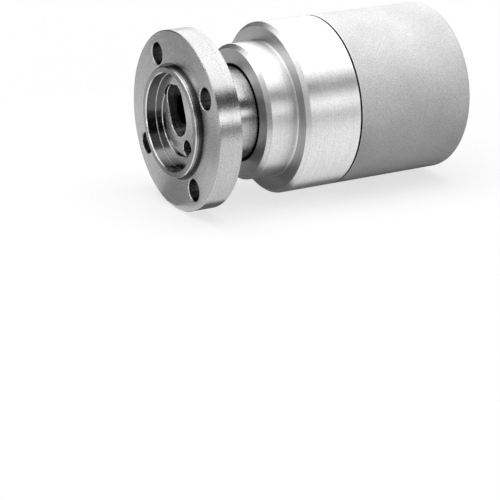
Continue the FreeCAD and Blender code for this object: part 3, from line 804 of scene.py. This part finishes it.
def card(name, level, corners, faces=((0, 1, 2, 3),)):
    """Card that only gloss sees: a mesh that glows at this level."""
    shader = Shader(name + "_look")
    glow = shader.node("ShaderNodeEmission")
    glow.inputs["Color"].default_value = WHITE
    glow.inputs["Strength"].default_value = level
    shader.show(glow.outputs[0])
    mesh = bpy.data.meshes.new(name)
    mesh.from_pydata(corners, [], faces)
    mesh.materials.append(shader.material)
    made = bpy.data.objects.new(name, mesh)
    bpy.context.scene.collection.objects.link(made)
    made.visible_camera = False
    made.visible_diffuse = False
    made.visible_shadow = False
    made.visible_transmission = False


def band_card(name, level, side, low, high, start=-CARD_REACH, end=CARD_REACH):
    """Upright card along the object, between two heights in degrees above the axis."""
    corners = []
    for angle, x in ((low, start), (low, end), (high, end), (high, start)):
        rise = math.radians(angle)
        corners.append((x, side * CARD_DISTANCE * math.cos(rise), CARD_DISTANCE * math.sin(rise)))
    card(name, level, corners)


def floor_card(name, level, start, end, near, far, above=CARD_ABOVE_FLOOR):
    """Card just above the floor, between two places along X and two along Y."""
    z = cad_box[0].z + above
    card(name, level, [(start, near, z), (end, near, z), (end, far, z), (start, far, z)])


def upright_card(name, level, x, near, far, low, high):
    """Upright card square to the axis, between two places along Y and two heights."""
    card(name, level, [(x, near, low), (x, far, low), (x, far, high), (x, near, high)])


def runway_card(name, level, near, far):
    """Card just above the floor, along the runway. Each end: how far it lies from below the face's
    middle, and how far its two sides lie to the left of the runway's middle line."""
    turn = math.radians(RUNWAY_DIRECTION)
    ahead = Vector((math.cos(turn), math.sin(turn), 0))
    aside = Vector((-math.sin(turn), math.cos(turn), 0))
    low = Vector((0, 0, cad_box[0].z + UPPER_CARD_ABOVE_FLOOR))
    (start, start_right, start_left), (end, end_right, end_left) = near, far
    places = ((start, start_right), (start, start_left), (end, end_left), (end, end_right))
    card(name, level, [low + ahead * place + aside * side for place, side in places])


def tent(name, level, first, last):
    """Arched roof over the object between two angles from +Z, negative towards +Y."""
    corners = []
    for index in range(TENT_STEPS + 1):
        angle = math.radians(first + (last - first) * index / TENT_STEPS)
        y, z = -math.sin(angle) * TENT_RADIUS, math.cos(angle) * TENT_RADIUS
        corners += [(TENT_START, y, z), (CARD_REACH, y, z)]
    faces = [(2 * index, 2 * index + 1, 2 * index + 3, 2 * index + 2) for index in range(TENT_STEPS)]
    card(name, level, corners, faces)


def make_cards():
    """Bright roof and strip, and darker flags and shades, that draw the bands on the turned metal."""
    tent("tent_roof", 1.7, first=-74.0, last=43.0)
    band_card("flag_high_front", 0.02, FRONT, low=22.0, high=45.0)
    band_card("strip_front", 2.2, FRONT, low=6.0, high=18.0, start=0.0)
    band_card("flag_middle_front", 0.25, FRONT, low=BAND_FOOT, high=5.0, start=0.0)
    band_card("flag_front_left", 0.01, FRONT, low=BAND_FOOT, high=36.0, start=-0.75, end=-0.05)
    band_card("shade_front_left", 0.45, FRONT, low=36.0, high=80.0, start=-0.75, end=-0.05)
    floor_card("flag_low_front", 0.42, start=-CARD_REACH, end=CARD_REACH, near=-0.27, far=-2.5)
    floor_card("flag_low_near", 0.03, start=-0.25, end=-0.03, near=-0.35, far=-0.125,
               above=UPPER_CARD_ABOVE_FLOOR)
    band_card("flag_high_back", 0.02, BACK, low=BAND_FOOT, high=44.0, end=0.12)
    band_card("flag_middle_back", 0.02, BACK, low=BAND_FOOT, high=13.0, start=0.12, end=0.28)
    upright_card("flag_left", 0.3, x=-0.9, near=-0.75, far=-0.25, low=0.1, high=0.6)
    runway_card("flag_runway_near", 0.35, near=(0.0, -0.009, 0.012), far=(0.15, -0.009, 0.02))
    runway_card("flag_runway_far", 0.2, near=(0.2, -0.003, 0.04), far=(0.9, -0.12, 0.15))
    runway_card("flag_runway_left", 0.4, near=(0.07, 0.018, 0.07), far=(0.19, 0.024, 0.12))
    # Dark card under the object that only gloss sees: it stands in for the shade beneath the object.
    floor_card("contact_shade_below", 0.15, start=0.0, end=0.17, near=-0.024, far=0.085)


def area_lamp(name, place, width, height, power):
    """Soft lamp that looks at the middle of the object."""
    data = bpy.data.lights.new(name, "AREA")
    data.shape = "RECTANGLE"
    data.size = width
    data.size_y = height
    data.energy = power
    lamp = bpy.data.objects.new(name, data)
    lamp.location = place
    lamp.rotation_euler = (LAMP_TARGET - Vector(place)).to_track_quat("-Z", "Y").to_euler()
    bpy.context.scene.collection.objects.link(lamp)


def make_lamps():
    """A large softbox above the object and a small one on its left."""
    area_lamp("softbox_top", place=(0.0, -0.1, 1.0), width=1.4, height=0.9, power=10.5)
    area_lamp("softbox_left", place=(-1.1, -0.35, 0.35), width=0.7, height=0.7, power=2.0)


looks = dress_nodes()
make_threads(looks)
make_screws(looks)
make_garter_spring(looks)
make_camera()
make_world()
make_floor()
make_cards()
make_lamps()
bpy.context.scene.view_settings.view_transform = "Standard"
